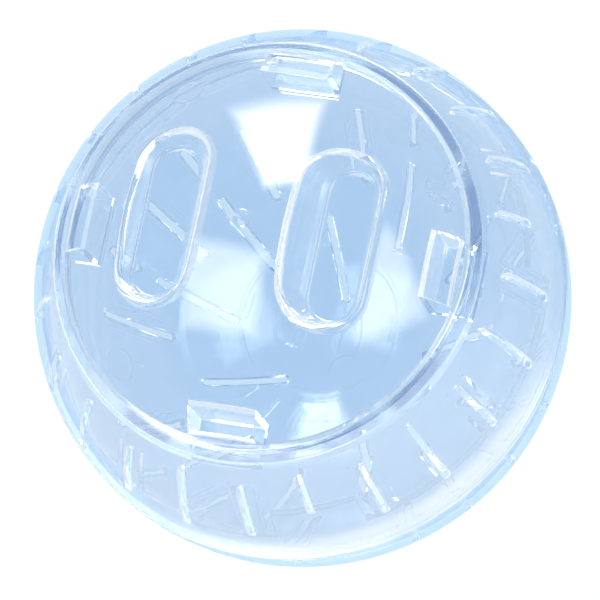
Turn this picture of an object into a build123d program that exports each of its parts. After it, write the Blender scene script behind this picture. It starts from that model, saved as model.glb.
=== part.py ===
# Hamster ball: a clear running ball moulded as two half shells, with a domed lid that
# closes the mouth of the front half. Millimetres. The lid's axis is +Z and the origin
# is the centre of the ball. +X runs across the two finger wells of the lid.
import os
from math import asin, cos, degrees, radians, sin, sqrt, tan

from build123d import *

# Ball
ball_radius = 70.0
wall = 2.0
clearance = 0.3
overrun = 6.0
round_wall_share = 0.8

# Lid
lid_edge_radius = 53.2
lid_rim_depth = 2.05
lid_bead_width = 2.0
lid_edge_round = 0.6

# Finger wells of the lid
well_spacing = 46.4
well_depth = 14.0
well_floor_length = 40.0
well_floor_width = 13.0
well_draft = 20.0
well_lip_round = 1.6
well_floor_round = 1.5

# Bayonet hooks of the lid and the windows above them
hook_count = 4
hook_width = 17.5
hook_wall = 2.0
foot_length = 9.6
foot_thickness = 1.8
window_strip = 0.8

# Moulding gate marks, and ejector pads as pairs of a turn and a latitude
gate_dish_radius = 2.4
gate_dish_depth = 0.4
gate_nub_radius = 1.6
gate_nub_height = 1.0
ejector_pad_radius = 4.2
ejector_pad_height = 0.4
ejector_pads = ((126.0, 50.5), (25.0, 46.0), (-46.0, 51.0), (-128.0, 47.0))

# Mouth of the front shell
groove_width = 2.0
mouth_edge_round = 0.6
ledge_thickness = 2.0
gate_clearance = 0.5

# Vents and footing ribs. Shares are of the angle from the seam up to the mouth's ledge, and the
# turn is about the axis.
vent_width = 1.6
vent_count = 24
vent_turn = 19.0
vent_low_share = 0.36
vent_high_share = 0.925
vent_margin_share = 0.03
vent_chamfer = 0.4
ribbed_vent_low_share = 0.39
ribbed_vent_high_share = 0.865
rib_width = 1.0
rib_height = 1.0
rib_offset = 3.4

# Seam, inner lip and snap tongues of the back shell, with shares of the same angle
seam_gap = 0.3
seam_chamfer = 0.6
lip_thickness = 1.8
lip_top_share = 0.32
lip_root_share = 0.2
lip_tip_rise = 0.7
tongue_count = 4
tongue_top_share = 0.575
tongue_span = 20.0

# Vents of the back shell, as pairs of latitudes below the seam
back_vent_width = 2.0
back_outer_vent = (21.0, 33.0)
back_inner_vent = (38.5, 60.5)
back_ribbed_vent = (25.0, 46.0)
back_pole_vent = (54.0, 74.0)


def height_on(radius, reach):
    """Height of a sphere's surface at a distance from the axis."""
    return sqrt(radius**2 - reach**2)


def on_sphere(radius, latitude):
    """Point of a sphere's profile at a latitude, as distance from the axis and height."""
    return (radius * cos(radians(latitude)), radius * sin(radians(latitude)))


def between(radius, start, end):
    """Point of a sphere's profile half way between two others at the same radius."""
    middle = Vector(*start) + Vector(*end)
    return tuple(middle * (radius / middle.length))[:2]


def mirrored(*points):
    """Points of a profile carried over to the back half."""
    return [(reach, -height) for reach, height in points]


def surface_plane(turn, latitude, radius=ball_radius):
    """Plane that touches the ball, with its own X axis running up the meridian."""
    c, s = cos(radians(turn)), sin(radians(turn))
    along, up = on_sphere(1, latitude)
    return Plane(
        origin=(radius * along * c, radius * along * s, radius * up),
        x_dir=(-up * c, -up * s, along),
        z_dir=(along * c, along * s, up),
    )


def meridian_plane(turn):
    """Plane through the axis, with its own X axis pointing outwards and its Y axis up."""
    c, s = cos(radians(turn)), sin(radians(turn))
    return Plane(origin=(0, 0, 0), x_dir=(c, s, 0), z_dir=(s, -c, 0))


def arc_length(latitudes):
    """Length along the ball between two latitudes."""
    return ball_radius * radians(abs(latitudes[1] - latitudes[0]))


def on_outside(edges):
    """Those of the edges that end on the outside of the ball."""
    return edges.filter_by(
        lambda edge: all(abs(Vector(*end).length - ball_radius) < clearance for end in edge.vertices())
    )


def vent_planes(turns, latitudes, side=1):
    """Planes at the middles of a row of vents."""
    return [surface_plane(turn, side * sum(latitudes) / 2) for turn in turns]


def lip_end(latitude):
    """Outer edge, tip and inner edge of the lip's rounded end at a latitude."""
    tip_latitude = latitude + degrees(lip_tip_rise / lip_outer)
    return (
        on_sphere(lip_outer, latitude),
        on_sphere(lip_outer - lip_thickness / 2, tip_latitude),
        on_sphere(lip_inner, latitude),
    )


inner_radius = ball_radius - wall
lid_edge_top = height_on(ball_radius, lid_edge_radius)
bead_inner = lid_edge_radius - lid_bead_width
mouth_radius = lid_edge_radius + groove_width
mouth_edge_top = height_on(ball_radius, mouth_radius)
lid_rim = mouth_edge_top - lid_rim_depth
ledge_top = lid_rim - clearance
ledge_bottom = ledge_top - ledge_thickness
foot_top = ledge_bottom - clearance
foot_bottom = foot_top - foot_thickness
foot_end = lid_edge_radius - clearance
hook_inner = foot_end - foot_length

well_floor_height = ball_radius - well_depth
lip_outer = inner_radius - clearance
lip_inner = lip_outer - lip_thickness
seam = seam_gap / 2
seam_edge = (height_on(ball_radius, seam + seam_chamfer), seam + seam_chamfer)
seam_face_end = (height_on(ball_radius, seam) - seam_chamfer, seam)
zone_angle = degrees(asin(ledge_bottom / inner_radius))
lip_top = zone_angle * lip_top_share
lip_root = zone_angle * lip_root_share
tongue_top = zone_angle * tongue_top_share

# Moulding gate at a pole of the ball: a shallow dish outside and a nub inside, as profile points
dish_edge = (gate_dish_radius, height_on(ball_radius, gate_dish_radius))
dish_floor_edge = (gate_dish_radius, ball_radius - gate_dish_depth)
dish_middle = (0, ball_radius - gate_dish_depth)
nub_middle = (0, inner_radius - gate_nub_height)
nub_edge = (gate_nub_radius, inner_radius - gate_nub_height)
nub_foot = (gate_nub_radius, height_on(inner_radius, gate_nub_radius))

pitch = 360 / vent_count
ribbed_turns = [vent_turn + pitch * k for k in range(1, vent_count, 2)]
tongue_turns = [vent_turn + pitch * k for k in range(0, vent_count, vent_count // tongue_count)]
plain_turns = [
    vent_turn + pitch * k for k in range(0, vent_count, 2) if k % (vent_count // tongue_count)
]
plain_vent = (zone_angle * vent_low_share, zone_angle * vent_high_share)
ribbed_vent = (zone_angle * ribbed_vent_low_share, zone_angle * ribbed_vent_high_share)
tongue_vent = (tongue_top + zone_angle * vent_margin_share, plain_vent[1])

# Cups of the finger wells: drafted stadium-shaped pockets that follow the ball at their mouths.
with BuildPart() as well_cups:
    with BuildSketch(Plane.XY.offset(well_floor_height - wall)):
        with GridLocations(well_spacing, 0, 2, 1):
            SlotOverall(well_floor_length + 2 * wall, well_floor_width + 2 * wall, rotation=90)
    extrude(amount=ball_radius - well_floor_height + wall, taper=-well_draft)
    Sphere(ball_radius - wall / 2, mode=Mode.INTERSECT)

# Bayonet hooks: a wall that drops from the dome and a foot that reaches out under the mouth's ledge.
with BuildPart() as hooks:
    with BuildSketch(Plane.XY.offset(foot_bottom)):
        with PolarLocations(hook_inner + foot_length / 2, hook_count):
            Rectangle(foot_length, hook_width)
    extrude(amount=foot_thickness)
    with BuildSketch(Plane.XY.offset(foot_bottom)):
        with PolarLocations(hook_inner + hook_wall / 2, hook_count):
            Rectangle(hook_wall, hook_width)
    extrude(amount=ball_radius - foot_bottom)
    Sphere(ball_radius - wall / 2, mode=Mode.INTERSECT)

# Lid: a dome with a thickened rim, revolved, with the cups and the hooks moulded on.
with BuildPart() as lid:
    with BuildSketch(Plane.XZ):
        with BuildLine():
            edge_top = (lid_edge_radius, lid_edge_top)
            bead_top = (bead_inner, height_on(inner_radius, bead_inner))
            ThreePointArc(dish_edge, between(ball_radius, dish_edge, edge_top), edge_top)
            Polyline(edge_top, (lid_edge_radius, lid_rim), (bead_inner, lid_rim), bead_top)
            ThreePointArc(bead_top, between(inner_radius, bead_top, nub_foot), nub_foot)
            Polyline(nub_foot, nub_edge, nub_middle, dish_middle, dish_floor_edge, dish_edge)
        make_face()
    revolve(axis=Axis.Z)
    rim_edges = lid.edges().filter_by(GeomType.CIRCLE).filter_by_position(
        Axis.Z, lid_edge_top - clearance, lid_edge_top + clearance
    )
    fillet(rim_edges.sort_by(SortBy.RADIUS)[-1:], radius=lid_edge_round)
    add(well_cups.part)
    add(hooks.part)
    with BuildSketch(Plane.XY.offset(well_floor_height)):
        with GridLocations(well_spacing, 0, 2, 1):
            SlotOverall(well_floor_length, well_floor_width, rotation=90)
    extrude(amount=ball_radius - well_floor_height + overrun, taper=-well_draft, mode=Mode.SUBTRACT)
    well_edges = lid.edges(Select.LAST)
    floor_edges = well_edges.filter_by_position(
        Axis.Z, well_floor_height - clearance, well_floor_height + clearance
    )
    mouth_edges = on_outside(well_edges)
    fillet(floor_edges, radius=well_floor_round)
    fillet(mouth_edges, radius=well_lip_round)
    window_inner = hook_inner + hook_wall
    window_length = bead_inner - window_strip - window_inner
    with BuildSketch(Plane.XY.offset(foot_top)):
        with PolarLocations(window_inner + window_length / 2, hook_count):
            Rectangle(window_length, hook_width)
    extrude(amount=ball_radius - foot_top, mode=Mode.SUBTRACT)
    with BuildSketch(*[surface_plane(turn, latitude, inner_radius) for turn, latitude in ejector_pads]):
        Circle(ejector_pad_radius)
    extrude(amount=ejector_pad_height, both=True)

lid.part.label = "lid"

# Footing ribs: low bars inside both half shells, one on each side of every second vent.
with BuildPart() as footing_ribs:
    for latitudes, side in ((ribbed_vent, 1), (back_ribbed_vent, -1)):
        with BuildSketch(*vent_planes(ribbed_turns, latitudes, side)):
            with GridLocations(0, 2 * rib_offset, 1, 2):
                Rectangle(arc_length(latitudes), rib_width)
        extrude(amount=-(wall + rib_height))
    Sphere(ball_radius - wall / 2, mode=Mode.INTERSECT)
front_ribs = footing_ribs.solids().filter_by_position(Axis.Z, 0, ball_radius)
back_ribs = footing_ribs.solids().filter_by_position(Axis.Z, -ball_radius, 0)

# Front shell: the zone between the seam and the lid, with the mouth's ledge, vents and footing ribs.
with BuildPart() as front_shell:
    with BuildSketch(Plane.XZ):
        with BuildLine():
            seam_in = (height_on(inner_radius, seam), seam)
            mouth_top = (mouth_radius, mouth_edge_top)
            ledge_root = (height_on(inner_radius, ledge_bottom), ledge_bottom)
            ThreePointArc(seam_edge, between(ball_radius, seam_edge, mouth_top), mouth_top)
            Polyline(
                mouth_top,
                (mouth_radius, ledge_top),
                (bead_inner, ledge_top),
                (bead_inner, ledge_bottom),
                ledge_root,
            )
            ThreePointArc(ledge_root, between(inner_radius, ledge_root, seam_in), seam_in)
            Polyline(seam_in, seam_face_end, seam_edge)
        make_face()
    revolve(axis=Axis.Z)
    mouth_edge = front_shell.edges().filter_by(GeomType.CIRCLE).sort_by(Axis.Z)[-1:]
    mouth_angle = asin(mouth_edge_top / ball_radius)
    widest_round = (mouth_edge_top - ledge_top) * tan(mouth_angle / 2)
    fillet(mouth_edge, radius=min(mouth_edge_round, round_wall_share * widest_round))
    gate_length = foot_end + gate_clearance - hook_inner
    with BuildSketch(Plane.XY.offset(ledge_top)):
        with PolarLocations(hook_inner + gate_length / 2, hook_count):
            Rectangle(gate_length, hook_width + 2 * gate_clearance)
    extrude(amount=overrun, both=True, mode=Mode.SUBTRACT)
    add(front_ribs)
    for turns, latitudes in (
        (plain_turns, plain_vent),
        (tongue_turns, tongue_vent),
        (ribbed_turns, ribbed_vent),
    ):
        with BuildSketch(*vent_planes(turns, latitudes)):
            SlotOverall(arc_length(latitudes), vent_width)
        extrude(amount=overrun, both=True, mode=Mode.SUBTRACT)
        chamfer(on_outside(front_shell.edges(Select.LAST)), length=vent_chamfer)

front_shell.part.label = "front_shell"

# Back shell: the other half. Its inner lip, which the front shell slides over, is drawn at the
# height of the snap tongues and then cut down between them.
with BuildPart() as back_shell:
    with BuildSketch(Plane.XZ):
        with BuildLine():
            below = mirrored(dish_edge, dish_floor_edge, dish_middle, nub_middle, nub_edge, nub_foot)
            back_seam_edge, back_face_end = mirrored(seam_edge, seam_face_end)
            root_low = on_sphere(inner_radius, -lip_root)
            root_high = on_sphere(lip_inner, -lip_root / 2)
            tongue_out, tongue_tip, tongue_in = lip_end(tongue_top)
            lip_foot = (height_on(lip_outer, seam), -seam)
            ThreePointArc(below[0], between(ball_radius, below[0], back_seam_edge), back_seam_edge)
            Polyline(back_seam_edge, back_face_end, lip_foot)
            ThreePointArc(lip_foot, between(lip_outer, lip_foot, tongue_out), tongue_out)
            ThreePointArc(tongue_out, tongue_tip, tongue_in)
            ThreePointArc(tongue_in, between(lip_inner, tongue_in, root_high), root_high)
            Line(root_high, root_low)
            ThreePointArc(root_low, between(inner_radius, root_low, below[-1]), below[-1])
            Polyline(*below)
        make_face()
    revolve(axis=Axis.Z)
    for turn in tongue_turns:
        with BuildSketch(meridian_plane(turn + tongue_span / 2)):
            with BuildLine():
                lip_out, lip_tip, lip_in = lip_end(lip_top)
                cut_end = on_sphere(ball_radius, lip_top)
                ThreePointArc(lip_in, lip_tip, lip_out)
                Polyline(lip_out, cut_end, (cut_end[0], ball_radius), (0, ball_radius), (0, 0), lip_in)
            make_face()
        revolve(axis=Axis.Z, revolution_arc=360 / tongue_count - tongue_span, mode=Mode.SUBTRACT)
    add(back_ribs)
    for turns, latitudes in (
        (plain_turns, back_outer_vent),
        (plain_turns, back_inner_vent),
        (ribbed_turns, back_ribbed_vent),
        (tongue_turns, back_pole_vent),
    ):
        with BuildSketch(*vent_planes(turns, latitudes, -1)):
            SlotOverall(arc_length(latitudes), back_vent_width)
        extrude(amount=overrun, both=True, mode=Mode.SUBTRACT)
        chamfer(on_outside(back_shell.edges(Select.LAST)), length=vent_chamfer)

back_shell.part.label = "back_shell"

os.makedirs("parts", exist_ok=True)
for piece in (lid, front_shell, back_shell):
    export_step(piece.part, f"parts/{piece.part.label}.step")
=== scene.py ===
# A clear hamster running ball, dressed and lit for the photograph's view. Metres.
from math import radians

import bpy
from mathutils import Matrix, Vector


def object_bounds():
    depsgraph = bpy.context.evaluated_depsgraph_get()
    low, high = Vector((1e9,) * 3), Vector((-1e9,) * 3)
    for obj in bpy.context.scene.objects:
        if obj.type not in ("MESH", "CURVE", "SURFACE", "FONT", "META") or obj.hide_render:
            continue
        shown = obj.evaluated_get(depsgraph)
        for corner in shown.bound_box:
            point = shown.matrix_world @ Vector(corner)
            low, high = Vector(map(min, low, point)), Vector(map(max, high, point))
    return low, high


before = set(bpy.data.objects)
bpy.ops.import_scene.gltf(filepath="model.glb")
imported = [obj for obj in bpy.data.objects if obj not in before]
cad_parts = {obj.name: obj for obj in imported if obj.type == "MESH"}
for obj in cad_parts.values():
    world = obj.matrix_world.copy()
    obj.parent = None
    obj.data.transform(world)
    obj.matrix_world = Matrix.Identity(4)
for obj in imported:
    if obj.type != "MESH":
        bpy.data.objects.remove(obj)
cad_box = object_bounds()
scene = bpy.context.scene
bpy.ops.object.select_all(action="DESELECT")


# Finish of the mouldings
# The polish of the tool leaves a slow waviness, and rolling about leaves faint smears and a haze of
# fine scratches. All the clear plastic shares it.
wave_scale, wave_detail = 38.0, 1.0
wave_height = 0.00012
smear_scale, smear_detail = 48.0, 4.0
smear_thin, smear_thick = 0.5, 0.75
scratch_scale = 420.0
scratch_stretch = (1.0, 0.06, 0.35)
scratch_turn = (radians(25), radians(10), radians(40))
scratch_thin, scratch_thick = 0.62, 0.72
polished_roughness = 0.006
smeared_roughness = 0.03
scratched_roughness = 0.045

finish = bpy.data.node_groups.new("moulded_finish", "ShaderNodeTree")
finish.interface.new_socket(name="Roughness", in_out="OUTPUT", socket_type="NodeSocketFloat")
finish.interface.new_socket(name="Normal", in_out="OUTPUT", socket_type="NodeSocketVector")
nodes, links = finish.nodes, finish.links
finish_out = nodes.new("NodeGroupOutput")
place = nodes.new("ShaderNodeTexCoord")

waves = nodes.new("ShaderNodeTexNoise")
waves.inputs["Scale"].default_value = wave_scale
waves.inputs["Detail"].default_value = wave_detail
links.new(place.outputs["Object"], waves.inputs["Vector"])
bump = nodes.new("ShaderNodeBump")
bump.inputs["Distance"].default_value = wave_height
links.new(waves.outputs["Fac"], bump.inputs["Height"])
links.new(bump.outputs["Normal"], finish_out.inputs["Normal"])

smears = nodes.new("ShaderNodeTexNoise")
smears.inputs["Scale"].default_value = smear_scale
smears.inputs["Detail"].default_value = smear_detail
links.new(place.outputs["Object"], smears.inputs["Vector"])
smear_level = nodes.new("ShaderNodeMapRange")
smear_level.inputs["From Min"].default_value = smear_thin
smear_level.inputs["From Max"].default_value = smear_thick
smear_level.inputs["To Min"].default_value = polished_roughness
smear_level.inputs["To Max"].default_value = smeared_roughness
links.new(smears.outputs["Fac"], smear_level.inputs["Value"])

stretch = nodes.new("ShaderNodeMapping")
stretch.inputs["Scale"].default_value = scratch_stretch
stretch.inputs["Rotation"].default_value = scratch_turn
links.new(place.outputs["Object"], stretch.inputs["Vector"])
scratches = nodes.new("ShaderNodeTexNoise")
scratches.inputs["Scale"].default_value = scratch_scale
links.new(stretch.outputs["Vector"], scratches.inputs["Vector"])
scratch_level = nodes.new("ShaderNodeMapRange")
scratch_level.inputs["From Min"].default_value = scratch_thin
scratch_level.inputs["From Max"].default_value = scratch_thick
scratch_level.inputs["To Max"].default_value = scratched_roughness
links.new(scratches.outputs["Fac"], scratch_level.inputs["Value"])
roughness = nodes.new("ShaderNodeMath")
links.new(smear_level.outputs["Result"], roughness.inputs[0])
links.new(scratch_level.outputs["Result"], roughness.inputs[1])
links.new(roughness.outputs["Value"], finish_out.inputs["Roughness"])


# Cast of the plastic, with painted light and shade
# All three mouldings have one faint blue cast in the plastic itself. On the -Y side it is paler at
# the seam, as painted light on the lip, and it is deeper in the groove round the lid, in patches,
# as painted shade.
plastic_tint = (0.525, 0.665, 0.82, 1.0)
# Painted light: the paler colour at the seam on the -Y side.
seam_painted_light_tint = (0.80, 0.87, 0.94, 1.0)
# Painted shade: the deeper colour in the groove round the lid.
groove_painted_shade_tint = (0.175, 0.25, 0.43, 1.0)
# Between these two levels of Y the painted light at the seam and the shells' haze fade in towards -Y.
painted_light_full_y, painted_light_start_y = -0.045, 0.005
lip_root, lip_top = 0.008, 0.015
groove_inner, groove_outer = 0.0529, 0.0555
groove_foot, groove_top = 0.0404, 0.0446
# Noise breaks the painted groove shade into patches.
shade_breakup_scale = 55.0
shade_breakup_thin, shade_breakup_thick = 0.33, 0.53
across_axis = (1.0, 1.0, 0.0)


def reckon(tree, operation, first, second=0.0):
    step = tree.nodes.new("ShaderNodeMath")
    step.operation = operation
    for socket, value in zip(step.inputs, (first, second)):
        if isinstance(value, float):
            socket.default_value = value
        else:
            tree.links.new(value, socket)
    return step.outputs["Value"]


def ramp(tree, value, start, end, most=1.0):
    step = tree.nodes.new("ShaderNodeMapRange")
    step.interpolation_type = "SMOOTHSTEP"
    step.inputs["From Min"].default_value = start
    step.inputs["From Max"].default_value = end
    step.inputs["To Max"].default_value = most
    tree.links.new(value, step.inputs["Value"])
    return step.outputs["Result"]


cast_and_painted_light = bpy.data.node_groups.new("blue_cast_and_painted_light", "ShaderNodeTree")
cast_and_painted_light.interface.new_socket(name="Color", in_out="OUTPUT", socket_type="NodeSocketColor")
nodes, links = cast_and_painted_light.nodes, cast_and_painted_light.links
cast_out = nodes.new("NodeGroupOutput")
place = nodes.new("ShaderNodeTexCoord")
spot = nodes.new("ShaderNodeSeparateXYZ")
links.new(place.outputs["Object"], spot.inputs["Vector"])
height = spot.outputs["Z"]

# Painted light: paler at the seam on the -Y side, where the lip catches light.
from_seam = reckon(cast_and_painted_light, "ABSOLUTE", height)
painted_light_side = ramp(cast_and_painted_light, spot.outputs["Y"], painted_light_start_y, painted_light_full_y)
seam = reckon(cast_and_painted_light, "MULTIPLY", painted_light_side, ramp(cast_and_painted_light, from_seam, lip_top, lip_root))
paler = nodes.new("ShaderNodeMix")
paler.data_type = "RGBA"
paler.inputs["A"].default_value = plastic_tint
paler.inputs["B"].default_value = seam_painted_light_tint
links.new(seam, paler.inputs["Factor"])

level = nodes.new("ShaderNodeVectorMath")
level.operation = "MULTIPLY"
level.inputs[1].default_value = across_axis
links.new(place.outputs["Object"], level.inputs[0])
from_axis = nodes.new("ShaderNodeVectorMath")
from_axis.operation = "LENGTH"
links.new(level.outputs["Vector"], from_axis.inputs[0])
# Painted shade in the groove round the lid, broken into patches by noise.
shade_breakup = nodes.new("ShaderNodeTexNoise")
shade_breakup.inputs["Scale"].default_value = shade_breakup_scale
links.new(place.outputs["Object"], shade_breakup.inputs["Vector"])
groove = ramp(cast_and_painted_light, shade_breakup.outputs["Fac"], shade_breakup_thin, shade_breakup_thick)
for operation, value, edge in (
    ("GREATER_THAN", from_axis.outputs["Value"], groove_inner),
    ("LESS_THAN", from_axis.outputs["Value"], groove_outer),
    ("GREATER_THAN", height, groove_foot),
    ("LESS_THAN", height, groove_top),
):
    groove = reckon(cast_and_painted_light, "MULTIPLY", groove, reckon(cast_and_painted_light, operation, value, edge))
deeper = nodes.new("ShaderNodeMix")
deeper.data_type = "RGBA"
deeper.inputs["B"].default_value = groove_painted_shade_tint
links.new(paler.outputs["Result"], deeper.inputs["A"])
links.new(groove, deeper.inputs["Factor"])
links.new(deeper.outputs["Result"], cast_out.inputs["Color"])


# Back shell
# The half that the ball stands on, injection moulded in clear plastic. Its lip and four snap tongues
# grip the front shell. The blue shows in the first faces that a look meets, and light caught in an
# edge leaves it clear. At a grazing slant the first wall is a blue see-through film, a painted
# reflection in place of its mirror of the room. A whitish haze of scratches lies on the -Y side of
# both shells, as painted light that makes that side lighter.
clear_tint = (1.0, 1.0, 1.0, 1.0)
# Painted reflection: the blue film that the first wall turns to at a grazing slant.
rim_painted_reflection_tint = (0.72, 0.85, 0.955, 1.0)
shadow_tint = (0.92, 0.96, 0.985, 1.0)
haze_white = (0.95, 0.96, 0.97, 1.0)
plastic_ior = 1.5
first_depth, tinted_depth, caught_depth = 1.5, 2.5, 7.0
rim_start, rim_end, rim_most = 0.55, 0.85, 0.85
shell_haze = 0.12


def clear_plastic(piece, wall_haze):
    material = bpy.data.materials.new(piece + "_plastic")
    material.use_nodes = True
    tree = material.node_tree
    nodes, links = tree.nodes, tree.links

    def over(factor, below, above):
        step = nodes.new("ShaderNodeMixShader")
        links.new(factor, step.inputs["Fac"])
        links.new(below, step.inputs[1])
        links.new(above, step.inputs[2])
        return step.outputs["Shader"]

    def film(colour):
        step = nodes.new("ShaderNodeBsdfTransparent")
        step.inputs["Color"].default_value = colour
        return step.outputs["BSDF"]

    surface = nodes.new("ShaderNodeGroup")
    surface.node_tree = finish
    tint = nodes.new("ShaderNodeGroup")
    tint.node_tree = cast_and_painted_light
    tinted = nodes["Principled BSDF"]
    tinted.inputs["Transmission Weight"].default_value = 1.0
    links.new(tint.outputs["Color"], tinted.inputs["Base Color"])
    untinted = nodes.new("ShaderNodeBsdfGlass")
    for wall in (tinted, untinted):
        wall.inputs["IOR"].default_value = plastic_ior
        links.new(surface.outputs["Roughness"], wall.inputs["Roughness"])
        links.new(surface.outputs["Normal"], wall.inputs["Normal"])
    path = nodes.new("ShaderNodeLightPath")
    faces_met = path.outputs["Ray Depth"]
    past_tint = reckon(tree, "GREATER_THAN", faces_met, tinted_depth)
    look = over(past_tint, tinted.outputs["BSDF"], untinted.outputs["BSDF"])

    if wall_haze:
        first_wall = reckon(tree, "LESS_THAN", faces_met, first_depth)
        place = nodes.new("ShaderNodeTexCoord")
        spot = nodes.new("ShaderNodeSeparateXYZ")
        links.new(place.outputs["Object"], spot.inputs["Vector"])
        # Painted light: the whitish haze of scratches is laid only on the -Y side, which it makes
        # lighter.
        scratches_and_painted_light = ramp(tree, spot.outputs["Y"], painted_light_start_y, painted_light_full_y, wall_haze)
        scratch_haze_and_painted_light = nodes.new("ShaderNodeBsdfDiffuse")
        scratch_haze_and_painted_light.inputs["Color"].default_value = haze_white
        look = over(reckon(tree, "MULTIPLY", first_wall, scratches_and_painted_light), look, scratch_haze_and_painted_light.outputs["BSDF"])
        # Painted reflection: at a grazing slant the first wall turns to a blue see-through film
        # instead of mirroring the room.
        slant = nodes.new("ShaderNodeLayerWeight")
        rim = ramp(tree, slant.outputs["Facing"], rim_start, rim_end, rim_most)
        look = over(reckon(tree, "MULTIPLY", first_wall, rim), look, film(rim_painted_reflection_tint))
    caught = reckon(tree, "GREATER_THAN", faces_met, caught_depth)
    look = over(caught, look, film(clear_tint))
    look = over(path.outputs["Is Shadow Ray"], look, film(shadow_tint))
    links.new(look, nodes["Material Output"].inputs["Surface"])
    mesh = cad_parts[piece].data
    mesh.materials.clear()
    mesh.materials.append(material)


clear_plastic("back_shell", shell_haze)


# Front shell
# The half round the mouth, moulded in the same plastic. It snaps over the back shell's lip, and the
# ledge in its mouth has four gates for the lid's hooks.
clear_plastic("front_shell", shell_haze)


# Lid
# A domed disc moulded in the same plastic, with two finger wells. Four hooks at its rim pass the
# gates and lock under the ledge when it is turned. It gets neither the haze with its painted light
# nor the painted rim reflection.
lid_haze = 0.0
clear_plastic("lid", lid_haze)


# Floor
# A white table top, low enough for the back shell to be drawn off downwards. It keeps the ball's
# shadow and glows up to white, more so far from the lamps. From below it can be seen through.
floor_size = 6.0
floor_drop = 0.0505
floor_grey = (0.31, 0.345, 0.395, 1.0)
near_glow, far_glow = 0.63, 0.95
near_reach, far_reach = 0.35, 1.6
floor_height = cad_box[0][2] - floor_drop
bpy.ops.mesh.primitive_plane_add(size=floor_size, location=(0, 0, floor_height))
floor = bpy.context.object
floor.name = "floor"
table = bpy.data.materials.new("white_table")
table.use_nodes = True
nodes, links = table.node_tree.nodes, table.node_tree.links
nodes.clear()
table_out = nodes.new("ShaderNodeOutputMaterial")
diffuse = nodes.new("ShaderNodeBsdfDiffuse")
diffuse.inputs["Color"].default_value = floor_grey
path = nodes.new("ShaderNodeLightPath")
seen = path.outputs["Is Camera Ray"]
for ray in ("Is Glossy Ray", "Is Transmission Ray"):
    either = nodes.new("ShaderNodeMath")
    either.operation = "MAXIMUM"
    links.new(seen, either.inputs[0])
    links.new(path.outputs[ray], either.inputs[1])
    seen = either.outputs["Value"]
place = nodes.new("ShaderNodeTexCoord")
reach = nodes.new("ShaderNodeVectorMath")
reach.operation = "LENGTH"
links.new(place.outputs["Object"], reach.inputs[0])
brightness = nodes.new("ShaderNodeMapRange")
brightness.inputs["From Min"].default_value = near_reach
brightness.inputs["From Max"].default_value = far_reach
brightness.inputs["To Min"].default_value = near_glow
brightness.inputs["To Max"].default_value = far_glow
links.new(reach.outputs["Value"], brightness.inputs["Value"])
level = nodes.new("ShaderNodeMath")
level.operation = "MULTIPLY"
links.new(seen, level.inputs[0])
links.new(brightness.outputs["Result"], level.inputs[1])
glow = nodes.new("ShaderNodeEmission")
links.new(level.outputs["Value"], glow.inputs["Strength"])
lit = nodes.new("ShaderNodeAddShader")
links.new(diffuse.outputs["BSDF"], lit.inputs[0])
links.new(glow.outputs["Emission"], lit.inputs[1])
side = nodes.new("ShaderNodeNewGeometry")
from_below = nodes.new("ShaderNodeBsdfTransparent")
top_side = nodes.new("ShaderNodeMixShader")
links.new(side.outputs["Backfacing"], top_side.inputs["Fac"])
links.new(lit.outputs["Shader"], top_side.inputs[1])
links.new(from_below.outputs["BSDF"], top_side.inputs[2])
links.new(top_side.outputs["Shader"], table_out.inputs["Surface"])
floor.data.materials.append(table)


# Camera
# A long lens looks down on the lid, a little past its axis, and turned so that the finger wells
# lean to the right.
to_camera = Vector((0.264, -0.242, 0.934)).normalized()
upward = Vector((-0.137, 0.949, 0.285))
camera_distance = 1.5
camera_lens = 345.5
aim_right, aim_up = -0.00070, -0.00050
image_right = upward.cross(to_camera).normalized()
image_up = to_camera.cross(image_right)
aim = image_right * aim_right + image_up * aim_up
camera_data = bpy.data.cameras.new("camera")
camera_data.lens = camera_lens
camera = bpy.data.objects.new("camera", camera_data)
scene.collection.objects.link(camera)
turn = Matrix((image_right, image_up, to_camera)).transposed().to_4x4()
camera.matrix_world = Matrix.Translation(aim + to_camera * camera_distance) @ turn
scene.camera = camera


# Soft boxes
# One above the ball and one on each side of the lens. Their cloth is brightest in the middle.
# Directions are to the right of the lens, above it and towards it.
cloth_centre = (0.5, 0.5, 0.0)
cloth_edge = 0.5
lamp_white = (1.0, 0.88, 0.74)


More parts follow.
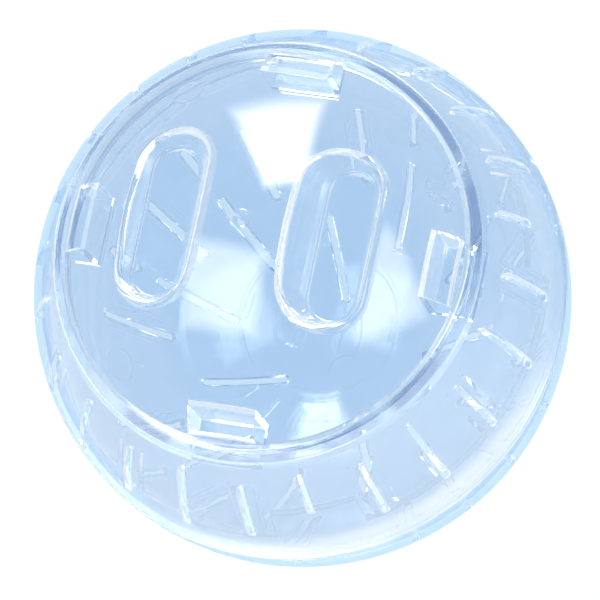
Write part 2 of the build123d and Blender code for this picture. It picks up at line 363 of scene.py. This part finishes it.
def soft_box(name, direction, distance, size, power, roll, tilt=0, cloth_middle=0.30):
    lamp_data = bpy.data.lights.new(name, "AREA")
    lamp_data.shape = "RECTANGLE"
    lamp_data.size, lamp_data.size_y = size
    lamp_data.energy = power
    lamp_data.color = lamp_white
    lamp_data.use_nodes = True
    nodes, links = lamp_data.node_tree.nodes, lamp_data.node_tree.links
    cloth = nodes.new("ShaderNodeNewGeometry")
    from_middle = nodes.new("ShaderNodeVectorMath")
    from_middle.operation = "SUBTRACT"
    from_middle.inputs[1].default_value = cloth_centre
    links.new(cloth.outputs["Parametric"], from_middle.inputs[0])
    spread = nodes.new("ShaderNodeVectorMath")
    spread.operation = "ABSOLUTE"
    links.new(from_middle.outputs["Vector"], spread.inputs[0])
    sides = nodes.new("ShaderNodeSeparateXYZ")
    links.new(spread.outputs["Vector"], sides.inputs["Vector"])
    to_edge = nodes.new("ShaderNodeMath")
    to_edge.operation = "MAXIMUM"
    links.new(sides.outputs["X"], to_edge.inputs[0])
    links.new(sides.outputs["Y"], to_edge.inputs[1])
    fade = nodes.new("ShaderNodeMapRange")
    fade.interpolation_type = "SMOOTHSTEP"
    fade.inputs["From Min"].default_value = cloth_edge
    fade.inputs["From Max"].default_value = cloth_middle
    links.new(to_edge.outputs["Value"], fade.inputs["Value"])
    links.new(fade.outputs["Result"], nodes["Emission"].inputs["Strength"])
    lamp = bpy.data.objects.new(name, lamp_data)
    scene.collection.objects.link(lamp)
    away = image_right * direction[0] + image_up * direction[1] + to_camera * direction[2]
    away.normalize()
    across = image_up.cross(away).normalized()
    facing = Matrix((across, away.cross(across), away)).transposed().to_4x4()
    turned = Matrix.Rotation(radians(roll), 4, "Z") @ Matrix.Rotation(radians(tilt), 4, "X")
    lamp.matrix_world = Matrix.Translation(away * distance) @ facing @ turned


soft_box(
    "overhead_box",
    direction=(-0.13, 0.865, 0.483),
    distance=0.5,
    size=(0.22, 0.53),
    power=7,
    roll=14,
    tilt=-43,
    cloth_middle=0.15,
)
soft_box(
    "left_box",
    direction=(-0.547, 0.073, 0.834),
    distance=1.27,
    size=(0.855, 0.945),
    power=12.5,
    roll=-8,
)
soft_box(
    "right_box",
    direction=(0.519, 0.102, 0.849),
    distance=1.27,
    size=(0.87, 1.08),
    power=13,
    roll=20,
)


# Room
# White walls under a pale blue ceiling, which the clear plastic mirrors. The floor gets less of
# their light, so that the soft boxes cast the shadow on it.
wall_white = (1.0, 1.0, 1.0, 1.0)
ceiling_blue = (0.50, 0.68, 0.88, 1.0)
wall_top, ceiling_start = 0.15, 0.85
room_light, room_light_on_floor = 1.0, 0.4
room = bpy.data.worlds.new("room")
scene.world = room
room.use_nodes = True
nodes, links = room.node_tree.nodes, room.node_tree.links
way = nodes.new("ShaderNodeTexCoord")
height = nodes.new("ShaderNodeSeparateXYZ")
links.new(way.outputs["Generated"], height.inputs["Vector"])
rise = nodes.new("ShaderNodeMapRange")
rise.interpolation_type = "SMOOTHSTEP"
rise.inputs["From Min"].default_value = wall_top
rise.inputs["From Max"].default_value = ceiling_start
links.new(height.outputs["Z"], rise.inputs["Value"])
hue = nodes.new("ShaderNodeMix")
hue.data_type = "RGBA"
hue.inputs["A"].default_value = wall_white
hue.inputs["B"].default_value = ceiling_blue
links.new(rise.outputs["Result"], hue.inputs["Factor"])
links.new(hue.outputs["Result"], nodes["Background"].inputs["Color"])
path = nodes.new("ShaderNodeLightPath")
level = nodes.new("ShaderNodeMapRange")
level.inputs["To Min"].default_value = room_light
level.inputs["To Max"].default_value = room_light_on_floor
links.new(path.outputs["Is Diffuse Ray"], level.inputs["Value"])
links.new(level.outputs["Result"], nodes["Background"].inputs["Strength"])


# Light paths and colour
# Clear walls behind clear walls need many bounces, so that no look through the ball ends in black.
# Colours are shown as they are written.
clear_bounces = 32
scene.view_settings.view_transform = "Standard"
scene.cycles.max_bounces = clear_bounces
scene.cycles.transmission_bounces = clear_bounces
scene.cycles.glossy_bounces = clear_bounces
scene.cycles.transparent_max_bounces = clear_bounces
